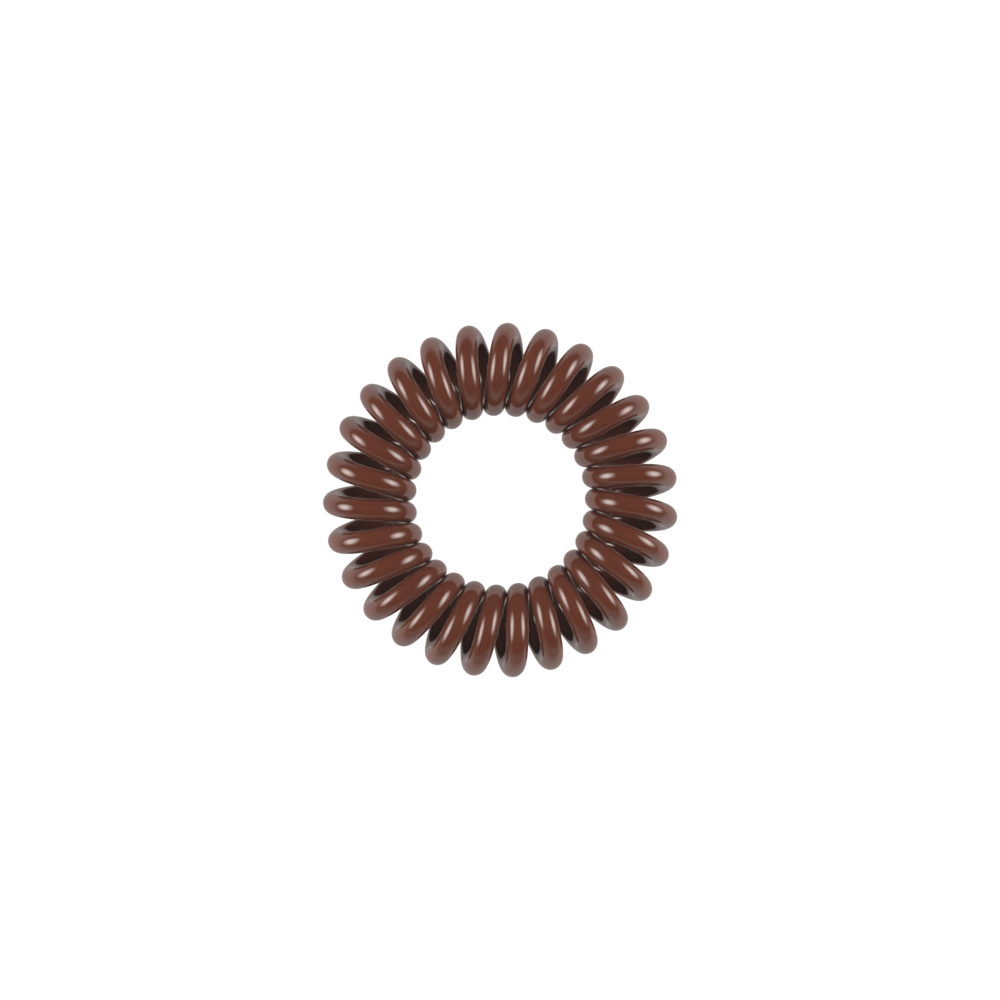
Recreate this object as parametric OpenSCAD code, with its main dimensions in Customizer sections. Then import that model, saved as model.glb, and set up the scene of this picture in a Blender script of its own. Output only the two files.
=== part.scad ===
// Spiral hair tie: one endless cord of soft plastic, wound like a spring whose coil closes into a ring.
// The ring lies flat round the Z axis, and the underside of each turn touches the surface at Z = 0.

/* [Ring] */
// Diameter of the ring, outside its turns
ring_d = 38; // [30:0.5:50]
// Diameter of the coil, outside its turns, which is also the height of the ring
coil_d = 9.96; // [8:0.02:12]

/* [Cord] */
// Diameter of the cord
cord_d = 2.34; // [1.8:0.02:3]
// Least clearance between neighbouring turns, round the ring's hole, where they crowd together
turn_gap = 0.03; // [0.03:0.01:1]

/* [Facets] */
// Sides of the cord's cross-section
cord_sides = 10; // [8:2:12]

/* [Hidden] */

// Milk chocolate brown
cord_colour = [0.4, 0.22, 0.16];

// Radius of the circle round which the coil is wound, and its height
core_r = (ring_d - coil_d) / 2;
core_h = coil_d / 2;
// Radius of a turn, at the middle of the cord
turn_r = (coil_d - cord_d) / 2;
// Turns that fit side by side round the hole
turns = floor(2 * PI * (core_r - turn_r) / (cord_d + turn_gap));

// Cross-sections are shared out so that each turn has one at its outer, upper, inner and lower point
triangles_max = 12000;
triangles_per_section = 2 * cord_sides;
sections_per_quarter = floor(triangles_max / (4 * turns * triangles_per_section));
sections_per_turn = 4 * sections_per_quarter;
sections = turns * sections_per_turn;

// Angle round the ring that the cord has reached once it has wound through an angle round the core.
// Both grow together, so that from above a turn's upper half leans counter-clockwise on its way inwards.
function ring_angle(wound) = wound / turns;

// Direction from the core to the middle of the cord
function cord_out(wound) =
    let (around = ring_angle(wound))
    [cos(wound) * cos(around), cos(wound) * sin(around), sin(wound)];

// Middle of the cord
function cord_middle(wound) =
    let (around = ring_angle(wound))
    [core_r * cos(around), core_r * sin(around), core_h] + turn_r * cord_out(wound);

// Direction in which the cord runs, at right angles to cord_out
function cord_along(wound) =
    let (
        around = ring_angle(wound),
        turning = turn_r * [-sin(wound) * cos(around), -sin(wound) * sin(around), cos(wound)],
        advancing = (core_r + turn_r * cos(wound)) / turns * [-sin(around), cos(around), 0],
        run = turning + advancing
    )
    run / norm(run);

// Corners of the cord's cross-section
function cord_section(wound) =
    let (out = cord_out(wound), side = cross(cord_along(wound), out))
    [for (corner = [0 : cord_sides - 1])
        let (turned = 360 * corner / cord_sides)
        cord_middle(wound) + cord_d / 2 * (cos(turned) * out + sin(turned) * side)];

// Two triangles between this corner and the next, here and on the cross-section that follows.
// The last cross-section is followed by the first, so the cord has no end.
function facet_pair(section, corner) =
    let (
        here = section * cord_sides,
        further = (section + 1) % sections * cord_sides,
        next = (corner + 1) % cord_sides
    )
    [[here + corner, further + corner, further + next],
     [here + corner, further + next, here + next]];

module coiled_cord() {
    corners = [for (section = [0 : sections - 1]) each cord_section(360 * section / sections_per_turn)];
    facets = [for (section = [0 : sections - 1])
        for (corner = [0 : cord_sides - 1]) each facet_pair(section, corner)];
    color(cord_colour)
        polyhedron(points = corners, faces = facets, convexity = turns);
}

coiled_cord();
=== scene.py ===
"""Spiral hair tie: one endless cord of brown soft plastic, wound like a spring and closed into a ring.

The ring lies flat on a pale floor, soft lights stand round it, and the camera looks straight down on it.
Lengths are in metres and angles in degrees.
"""

import logging
import math
from dataclasses import dataclass
from enum import Enum

import bpy
from mathutils import Matrix, Vector


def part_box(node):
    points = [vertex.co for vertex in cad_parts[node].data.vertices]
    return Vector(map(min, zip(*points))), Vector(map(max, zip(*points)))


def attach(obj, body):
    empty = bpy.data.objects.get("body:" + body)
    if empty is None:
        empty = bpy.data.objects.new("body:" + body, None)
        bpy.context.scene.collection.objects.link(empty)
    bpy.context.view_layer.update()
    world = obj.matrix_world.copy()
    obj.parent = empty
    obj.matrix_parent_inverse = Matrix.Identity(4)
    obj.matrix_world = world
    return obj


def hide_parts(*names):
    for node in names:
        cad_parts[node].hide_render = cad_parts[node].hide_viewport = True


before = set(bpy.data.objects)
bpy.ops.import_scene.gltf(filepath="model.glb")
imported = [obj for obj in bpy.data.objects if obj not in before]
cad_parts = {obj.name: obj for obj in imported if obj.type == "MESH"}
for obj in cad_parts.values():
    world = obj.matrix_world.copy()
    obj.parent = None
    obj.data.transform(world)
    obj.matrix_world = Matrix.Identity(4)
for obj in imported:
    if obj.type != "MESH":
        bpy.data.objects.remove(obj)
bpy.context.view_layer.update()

log = logging.getLogger("spiral_hair_tie")

NODE = "coiled_cord"
BODY = "root"

FULL_TURN = 2 * math.pi
STRAIGHT_DOWN = -1.0
STRAIGHT_UP = 1.0
Grey = float
Colour = tuple[float, float, float]

# Brightness of the floor and of the background round it, a little past the picture's white, which is 1
WHITE_GROUND: Grey = 1.02


class Fade(Enum):
    """How a ramp goes from one of its stops to the next."""

    STRAIGHT = "LINEAR"
    EASED = "EASE"


class Sum(Enum):
    """What a maths node works out."""

    TIMES = "MULTIPLY"
    COSINE = "COSINE"
    SINE = "SINE"


def deselect_all() -> None:
    """Leave nothing selected, so that the next operator acts on its own piece alone."""
    bpy.ops.object.select_all(action="DESELECT")


def pick(piece: bpy.types.Object) -> None:
    """Make one piece the only selected object and the active one.

    Args:
        piece: the object to pick.
    """
    deselect_all()
    piece.select_set(True)
    bpy.context.view_layer.objects.active = piece


@dataclass(frozen=True)
class Wiring:
    """The nodes of a material, a lamp or the room, in the making.

    Attributes:
        tree: the node tree that they go into.
    """

    tree: bpy.types.NodeTree

    def set(self, node: bpy.types.Node, inputs: dict[str | int, object]) -> None:
        """Give a node's inputs their values.

        Args:
            node: the node to change.
            inputs: a number, a colour or another node's output, for each input's name or place.
        """
        for socket, value in inputs.items():
            if isinstance(value, bpy.types.NodeSocket):
                self.tree.links.new(value, node.inputs[socket])
            else:
                node.inputs[socket].default_value = value

    def add(self, kind: str, inputs: dict[str | int, object], **choices: object) -> bpy.types.Node:
        """Add a node.

        Args:
            kind: its type.
            inputs: its inputs, as for set.
            choices: its settings that aren't inputs.

        Returns:
            The new node.
        """
        node = self.tree.nodes.new(kind)
        for choice, value in choices.items():
            setattr(node, choice, value)
        self.set(node, inputs)
        return node

    def work_out(self, what: Sum, *terms: float | bpy.types.NodeSocket) -> bpy.types.NodeSocket:
        """Add a maths node.

        Args:
            what: the sum that it does.
            terms: numbers or outputs that it does it with.

        Returns:
            Its result.
        """
        return self.add("ShaderNodeMath", dict(enumerate(terms)), operation=what.value).outputs["Value"]

    def ramp(
        self, along: bpy.types.NodeSocket, stops: dict[float, Grey | Colour], fade: Fade
    ) -> bpy.types.NodeSocket:
        """Add a ramp that turns a number into a colour.

        Args:
            along: the number, from 0 to 1.
            stops: the colours at some of its values, which include the first and the last.
            fade: how the ramp goes between them.

        Returns:
            The colour.
        """
        made = self.add("ShaderNodeValToRGB", {"Fac": along})
        made.color_ramp.interpolation = fade.value
        places = sorted(stops)
        ends = (made.color_ramp.elements[0], made.color_ramp.elements[1])
        ends[0].position, ends[1].position = places[0], places[-1]
        for place in places[1:-1]:
            made.color_ramp.elements.new(place)
        for stop, place in zip(made.color_ramp.elements, places):
            shade = stops[place]
            stop.color = (*(shade if isinstance(shade, tuple) else (shade,) * 3), 1.0)
        return made.outputs["Color"]


@dataclass(frozen=True)
class CordPlastic:
    """Glossy soft plastic, dyed brown all through and drawn through a round die.

    Attributes:
        brown: its colour.
        red_brown: the redder brown that it drifts to in places.
        patches: patches of drifted colour to the metre.
        drift: values of the patches' noise at which the drift begins and is complete.
        glossy: its roughness where it is smoothest.
        handled: its roughness where hair and fingers have dulled it.
        smears: dulled places to the metre.
        dulling: values of the smears' noise at which the dulling begins and is complete.
        refraction: how strongly it bends light.
        dimples: dimples to the metre.
        dimple_detail: finer steps of noise on the dimples, none of which leaves them round.
        dimple_height: height of the dimples.
        lines_round: how fine the lines that the die drew are, round the cord.
        lines_along: how often they change along the cord, where 1 is as often as round it.
        line_height: height of those lines.
    """

    brown: Colour = (0.0780, 0.0218, 0.0115)
    red_brown: Colour = (0.0835, 0.0231, 0.0122)
    patches: float = 120.0
    drift: tuple[float, float] = (0.35, 0.65)
    glossy: float = 0.10
    handled: float = 0.15
    smears: float = 500.0
    dulling: tuple[float, float] = (0.4, 0.7)
    refraction: float = 1.5
    dimples: float = 1800.0
    dimple_detail: float = 0.0
    dimple_height: float = 0.000002
    lines_round: float = 6.0
    lines_along: float = 3.0
    line_height: float = 0.0000005

    def material(self) -> bpy.types.Material:
        """Make the material.

        Returns:
            The finished material.
        """
        made = bpy.data.materials.new("cord_plastic")
        made.use_nodes = True
        wiring = Wiring(made.node_tree)
        place = wiring.add("ShaderNodeTexCoord", {}).outputs["Object"]
        patch = wiring.add("ShaderNodeTexNoise", {"Vector": place, "Scale": self.patches})
        smear = wiring.add("ShaderNodeTexNoise", {"Vector": place, "Scale": self.smears})
        browns = dict(zip(self.drift, (self.brown, self.red_brown)))
        shines = dict(zip(self.dulling, (self.glossy, self.handled)))
        wiring.set(made.node_tree.nodes["Principled BSDF"], {
            "Base Color": wiring.ramp(patch.outputs["Fac"], browns, Fade.EASED),
            "Roughness": wiring.ramp(smear.outputs["Fac"], shines, Fade.EASED),
            "Normal": self._surface(wiring, place),
            "IOR": self.refraction,
        })
        return made

    def _surface(self, wiring: Wiring, place: bpy.types.NodeSocket) -> bpy.types.NodeSocket:
        """Lay shallow dimples over the fine lines that run along the cord.

        Args:
            wiring: the material's nodes.
            place: the place on the cord.

        Returns:
            The direction that the surface faces.
        """
        dimple = wiring.add("ShaderNodeTexNoise", {
            "Vector": place,
            "Scale": self.dimples,
            "Detail": self.dimple_detail,
        })
        dimpled = wiring.add("ShaderNodeBump", {
            "Height": dimple.outputs["Fac"],
            "Distance": self.dimple_height,
        })
        lined = wiring.add("ShaderNodeBump", {
            "Height": self._lines(wiring),
            "Distance": self.line_height,
            "Normal": dimpled.outputs["Normal"],
        })
        return lined.outputs["Normal"]

    def _lines(self, wiring: Wiring) -> bpy.types.NodeSocket:
        """Draw fine lines along the cord, which meet themselves round it and where its ends join.

        Args:
            wiring: the material's nodes.

        Returns:
            The height of the lines, from 0 to 1.
        """
        unrolled = wiring.add("ShaderNodeUVMap", {}, uv_map="UVMap")
        split = wiring.add("ShaderNodeSeparateXYZ", {"Vector": unrolled.outputs["UV"]})
        along = wiring.work_out(Sum.TIMES, split.outputs["X"], FULL_TURN)
        around = wiring.work_out(Sum.TIMES, split.outputs["Y"], FULL_TURN)
        far = wiring.work_out(Sum.TIMES, wiring.work_out(Sum.COSINE, along), self.lines_along)
        further = wiring.work_out(Sum.TIMES, wiring.work_out(Sum.SINE, along), self.lines_along)
        point = wiring.add("ShaderNodeCombineXYZ", {
            "X": wiring.work_out(Sum.COSINE, around),
            "Y": wiring.work_out(Sum.SINE, around),
            "Z": far,
        })
        lines = wiring.add(
            "ShaderNodeTexNoise",
            {"Vector": point.outputs["Vector"], "W": further, "Scale": self.lines_round},
            noise_dimensions="4D",
        )
        return lines.outputs["Fac"]


@dataclass
class CoiledCord:
    """The whole hair tie: a cord wound into a coil, whose two ends meet to make a ring.

    Attributes:
        ring_r: radius of the ring, outside its turns.
        coil_d: diameter of the coil, outside its turns.
        finish: what the cord is made of.
        cord_d: diameter of the cord.
        turn_gap: least clearance between neighbouring turns, measured round the hole.
        steps: straight stretches that a turn is drawn with.
        sides: sides of the cord's section.
    """

    ring_r: float
    coil_d: float
    finish: CordPlastic
    cord_d: float = 0.00234
    turn_gap: float = 0.00003
    steps: int = 72
    sides: int = 32

    @property
    def turn_r(self) -> float:
        """Radius of a turn, at the middle of the cord."""
        return (self.coil_d - self.cord_d) / 2

    @property
    def core_r(self) -> float:
        """Radius of the circle round which the coil is wound."""
        return self.ring_r - self.coil_d / 2

    @property
    def turns(self) -> int:
        """Turns that fit side by side round the hole."""
        round_hole = FULL_TURN * (self.core_r - self.turn_r)
        return math.floor(round_hole / (self.cord_d + self.turn_gap))

    def build(self) -> bpy.types.Object:
        """Model the cord and dress it.

        Returns:
            The finished piece, at the origin.
        """
        wire = self._wind()
        self._close(wire)
        self._thicken(wire)
        wire.data.materials.clear()
        wire.data.materials.append(self.finish.material())
        return wire

    def _wind(self) -> bpy.types.Object:
        """Wind a straight coil of wire along the X axis.

        Returns:
            The wire, a mesh of edges.
        """
        deselect_all()
        bpy.ops.mesh.primitive_plane_add(size=self.cord_d, location=(0, 0, 0))
        wire = bpy.context.object
        wire.name = wire.data.name = "spiral_cord"
        bpy.ops.object.mode_set(mode="EDIT")
        bpy.ops.mesh.select_all(action="SELECT")
        # The square shrinks to the point that winds, which starts at the outer tip of a turn
        bpy.ops.mesh.merge(type="CENTER")
        bpy.ops.transform.translate(value=(0, -self.turn_r, 0))
        bpy.ops.object.mode_set(mode="OBJECT")
        screw = wire.modifiers.new("turns", "SCREW")
        screw.axis = "X"
        screw.angle = -FULL_TURN
        screw.screw_offset = FULL_TURN * self.core_r / self.turns
        screw.iterations = self.turns
        screw.steps = screw.render_steps = self.steps
        pick(wire)
        bpy.ops.object.modifier_apply(modifier=screw.name)
        return wire

    def _close(self, wire: bpy.types.Object) -> None:
        """Bend the straight coil round until its ends meet, and lay the ring on the floor.

        Args:
            wire: the straight coil of wire.
        """
        bend = wire.modifiers.new("ring", "SIMPLE_DEFORM")
        bend.deform_method = "BEND"
        bend.deform_axis = "Z"
        bend.angle = FULL_TURN
        pick(wire)
        bpy.ops.object.modifier_apply(modifier=bend.name)
        bpy.ops.object.mode_set(mode="EDIT")
        bpy.ops.mesh.select_all(action="SELECT")
        # The wire's two ends lie in one place, and become one point
        bpy.ops.mesh.remove_doubles(threshold=self.cord_d / self.steps)
        bpy.ops.object.mode_set(mode="OBJECT")
        wire.data.transform(
            Matrix.Rotation(FULL_TURN / 4, 4, "Z")
            @ Matrix.Translation((0, -self.core_r, self.coil_d / 2))
        )

    def _thicken(self, wire: bpy.types.Object) -> None:
        """Give the wire the cord's round section.

        Args:
            wire: the closed ring of wire, which becomes the cord.
        """
        pick(wire)
        bpy.ops.object.convert(target="CURVE")
        route = bpy.context.object
        route.data.dimensions = "3D"
        route.data.twist_mode = "MINIMUM"
        route.data.bevel_depth = self.cord_d / 2
        # A bevel of resolution 0 has 4 sides, and each further step adds 2
        route.data.bevel_resolution = (self.sides - 4) // 2
        route.data.use_fill_caps = False
        bpy.ops.object.convert(target="MESH")
        bpy.ops.object.shade_smooth()


@dataclass(frozen=True)
class SoftLight:
    """A soft light that fades towards its rim, aimed at the middle of the ring.

    Attributes:
        name: what it is called.
        around: where it stands, counter-clockwise from the picture's right.
        off_top: angle between it and straight up.
        wide: angle that it covers from side to side, seen from the ring.
        tall: angle that it covers from top to bottom.
        glow: brightness of its middle, where white paper is 1.
        tint: colour of its light.
        mirrored: whether glossy things show its reflection.
    """

    name: str
    around: float
    off_top: float
    wide: float
    tall: float
    glow: float
    tint: Colour = (1.13, 1.06, 1.0)
    mirrored: bool = True

    def stand(self, aim: Vector, reach: float, turned: float) -> None:
        """Put the light in its place.

        Args:
            aim: the point that it shines on.
            reach: its distance from that point.
            turned: how far the picture's right is turned from the X axis.
        """
        lamp = bpy.data.lights.new(self.name, "AREA")
        lamp.shape = "ELLIPSE"
        lamp.size = 2 * reach * math.tan(math.radians(self.wide / 2))
        lamp.size_y = 2 * reach * math.tan(math.radians(self.tall / 2))
        surface = math.pi / 4 * lamp.size * lamp.size_y
        # A flat lamp sends out pi times its brightness from each square metre
        lamp.energy = math.pi * self.glow * surface
        lamp.color = self.tint
        self._feather(lamp)
        holder = bpy.data.objects.new(self.name, lamp)
        away = Vector((0, 0, 1))
        away.rotate(Matrix.Rotation(math.radians(self.off_top), 3, "Y"))
        away.rotate(Matrix.Rotation(math.radians(self.around + turned), 3, "Z"))
        holder.location = aim + reach * away
        holder.rotation_euler = away.to_track_quat("Z", "Y").to_euler()
        holder.visible_camera = False
        holder.visible_glossy = self.mirrored
        bpy.context.scene.collection.objects.link(holder)

    def _feather(self, lamp: bpy.types.Light) -> None:
        """Let the glow fade from the middle of a lamp to its rim.

        Args:
            lamp: the lamp to change.
        """
        lamp.use_nodes = True
        wiring = Wiring(lamp.node_tree)
        place = wiring.add("ShaderNodeNewGeometry", {})
        # From 0 to 1 across the lamp, which becomes -1 to 1, with 0 in its middle
        centred = wiring.add("ShaderNodeMapping", {
            "Vector": place.outputs["Parametric"],
            "Location": (-1.0, -1.0, 0.0),
            "Scale": (2.0, 2.0, 0.0),
        })
        inwards = wiring.add(
            "ShaderNodeTexGradient", {"Vector": centred.outputs["Vector"]}, gradient_type="SPHERICAL")
        glow = wiring.ramp(inwards.outputs["Fac"], {0.0: 0.0, 1.0: 1.0}, Fade.EASED)
        wiring.set(lamp.node_tree.nodes["Emission"], {"Strength": glow})


@dataclass(frozen=True)
class PaleFloor:
    """Evenly white floor, lit from behind as on a light table, and clear from below.

    Attributes:
        across: its diameter.
        sides: sides of its round outline.
        white: its brightness.
    """

    across: float = 5.0
    sides: int = 96
    white: Grey = WHITE_GROUND

    def lay(self) -> None:
        """Lay the floor under the ring."""
        deselect_all()
        bpy.ops.mesh.primitive_circle_add(
            vertices=self.sides, radius=self.across / 2, fill_type="NGON")
        floor = bpy.context.object
        floor.name = floor.data.name = "floor"
        floor.visible_diffuse = floor.visible_glossy = floor.visible_shadow = False
        floor.data.materials.append(self._light_table())

    def _light_table(self) -> bpy.types.Material:
        """Make the floor's material.

        Returns:
            The finished material.
        """
        made = bpy.data.materials.new("light_table")
        made.use_nodes = True
        made.node_tree.nodes.remove(made.node_tree.nodes["Principled BSDF"])
        wiring = Wiring(made.node_tree)
        side = wiring.add("ShaderNodeNewGeometry", {})
        white = wiring.add("ShaderNodeEmission", {"Strength": self.white})
        clear = wiring.add("ShaderNodeBsdfTransparent", {})
        both = wiring.add("ShaderNodeMixShader", {
            "Fac": side.outputs["Backfacing"],
            1: white.outputs["Emission"],
            2: clear.outputs["BSDF"],
        })
        wiring.set(made.node_tree.nodes["Material Output"], {"Surface": both.outputs["Shader"]})
        return made


@dataclass(frozen=True)
class Room:
    """Dark room over a light table, which the camera sees as plain white.

    Heights are those of a line of sight from the ring, from STRAIGHT_DOWN over 0, level, to STRAIGHT_UP.

    Attributes:
        walls: brightness of the foot of the walls.
        dark_from: height at which the room is dark.
        far: brightness of the light table at its far edge.
        edge: height of that edge, below which the table is and above which the walls are.
        near: brightness of the light table near the ring.
        near_from: height at which the near part ends.
        under: brightness of the light table straight under the ring.
        tint: colour of all this light.
        white: brightness of the background that the camera sees.
    """

    walls: Grey = 0.16
    dark_from: float = 0.60
    far: Grey = 0.88
    edge: float = 0.04
    near: Grey = 1.07
    near_from: float = -0.33
    under: Grey = 0.42
    tint: Colour = (1.13, 1.03, 1.0)
    white: Grey = WHITE_GROUND

    def light(self) -> None:
        """Surround the set with the room."""
        world = bpy.data.worlds.new("room")
        bpy.context.scene.world = world
        world.use_nodes = True
        world.node_tree.nodes.remove(world.node_tree.nodes["Background"])
        wiring = Wiring(world.node_tree)
        way = wiring.add("ShaderNodeTexCoord", {})
        split = wiring.add("ShaderNodeSeparateXYZ", {"Vector": way.outputs["Generated"]})
        risen = wiring.add("ShaderNodeMapRange", {
            "Value": split.outputs["Z"],
            "From Min": STRAIGHT_DOWN,
            "From Max": STRAIGHT_UP,
        })
        shades = {
            STRAIGHT_DOWN: self.under,
            self.near_from: self.near,
            -self.edge: self.far,
            self.edge: self.walls,
            self.dark_from: 0.0,
        }
        span = STRAIGHT_UP - STRAIGHT_DOWN
        stops = {(height - STRAIGHT_DOWN) / span: shade for height, shade in shades.items()}
        lit = wiring.add("ShaderNodeBackground", {
            "Color": (*self.tint, 1.0),
            "Strength": wiring.ramp(risen.outputs["Result"], stops, Fade.STRAIGHT),
        })
        seen = wiring.add("ShaderNodeBackground", {
            "Color": (1.0, 1.0, 1.0, 1.0),
            "Strength": self.white,
        })
        path = wiring.add("ShaderNodeLightPath", {})
        both = wiring.add("ShaderNodeMixShader", {
            "Fac": path.outputs["Is Camera Ray"],
            1: lit.outputs["Background"],
            2: seen.outputs["Background"],
        })
        wiring.set(world.node_tree.nodes["World Output"], {"Surface": both.outputs["Shader"]})


@dataclass(frozen=True)
class OverheadCamera:
    """Camera that looks straight down on the ring.

    Attributes:
        ring_share: share of the picture's width that the ring takes up.
        off_centre: place of the picture's middle, right of the ring's and above it, in picture widths.
        rise: height of the lens above the ring's middle.
        near_end: distance from the lens at which it starts to see.
        veil: brightness that stray light in the lens adds to the darkest places.
    """

    ring_share: float = 0.3548
    off_centre: tuple[float, float] = (-0.00046, 0.00017)
    rise: float = 0.203
    near_end: float = 0.01
    veil: Grey = 0.009

    def hang(self, ring_d: float, aim: Vector, turned: float) -> None:
        """Hang the camera over the ring.

        Args:
            ring_d: diameter of the ring.
            aim: the point that it looks at.
            turned: how far the picture's right is turned from the X axis.
        """
        seen = bpy.data.cameras.new("camera")
        picture_width = ring_d / self.ring_share
        seen.angle = 2 * math.atan(picture_width / 2 / self.rise)
        seen.shift_x, seen.shift_y = self.off_centre
        seen.clip_start = self.near_end
        camera = bpy.data.objects.new("camera", seen)
        camera.location = aim + Vector((0, 0, self.rise))
        camera.rotation_euler = (0, 0, math.radians(turned))
        scene = bpy.context.scene
        scene.collection.objects.link(camera)
        scene.camera = camera
        scene.view_settings.view_transform = "Standard"
        scene.view_settings.use_curve_mapping = True
        scene.view_settings.curve_mapping.black_level = (-self.veil,) * 3
        scene.view_settings.curve_mapping.update()


@dataclass(frozen=True)
class Studio:
    """Everything round the ring: floor, room, lights and camera.

    Attributes:
        ring_d: diameter of the ring.
        height: height of the ring's middle above the floor.
        turned: how far the picture's right is turned from the X axis, where the tip of a turn lies.
        reach: distance from the ring to each light.
        lights: the lights.
        floor: the floor.
        room: the room.
        camera: the camera.
    """

    ring_d: float
    height: float
    turned: float = -7.37
    reach: float = 1.2
    lights: tuple[SoftLight, ...] = (
        SoftLight("light_right", around=11, off_top=61, wide=67.5, tall=52.7, glow=11.4),
        SoftLight("light_left", around=172, off_top=61, wide=68, tall=52.7, glow=11.6),
        SoftLight("light_front", around=-95, off_top=74, wide=140, tall=44, glow=0.62),
        SoftLight("light_top", around=0, off_top=0, wide=80, tall=80, glow=2.64, mirrored=False),
    )
    floor: PaleFloor = PaleFloor()
    room: Room = Room()
    camera: OverheadCamera = OverheadCamera()

    def build(self) -> None:
        """Set it all up."""
        middle = Vector((0, 0, self.height))
        self.camera.hang(self.ring_d, middle, self.turned)
        self.floor.lay()
        self.room.light()
        for light in self.lights:
            light.stand(middle, self.reach, self.turned)


def main() -> None:
    """Model the hair tie, dress it and set up the studio round it."""
    logging.basicConfig(level=logging.INFO, format="%(message)s")
    low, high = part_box(NODE)
    Studio(ring_d=2 * high.x, height=(low.z + high.z) / 2).build()
    log.info("studio: camera, floor, room and lights")
    cord = CoiledCord(ring_r=high.x, coil_d=high.z - low.z, finish=CordPlastic()).build()
    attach(cord, BODY)
    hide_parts(NODE)
    log.info("%s: %d faces", cord.name, len(cord.data.polygons))


if __name__ == "__main__":
    main()
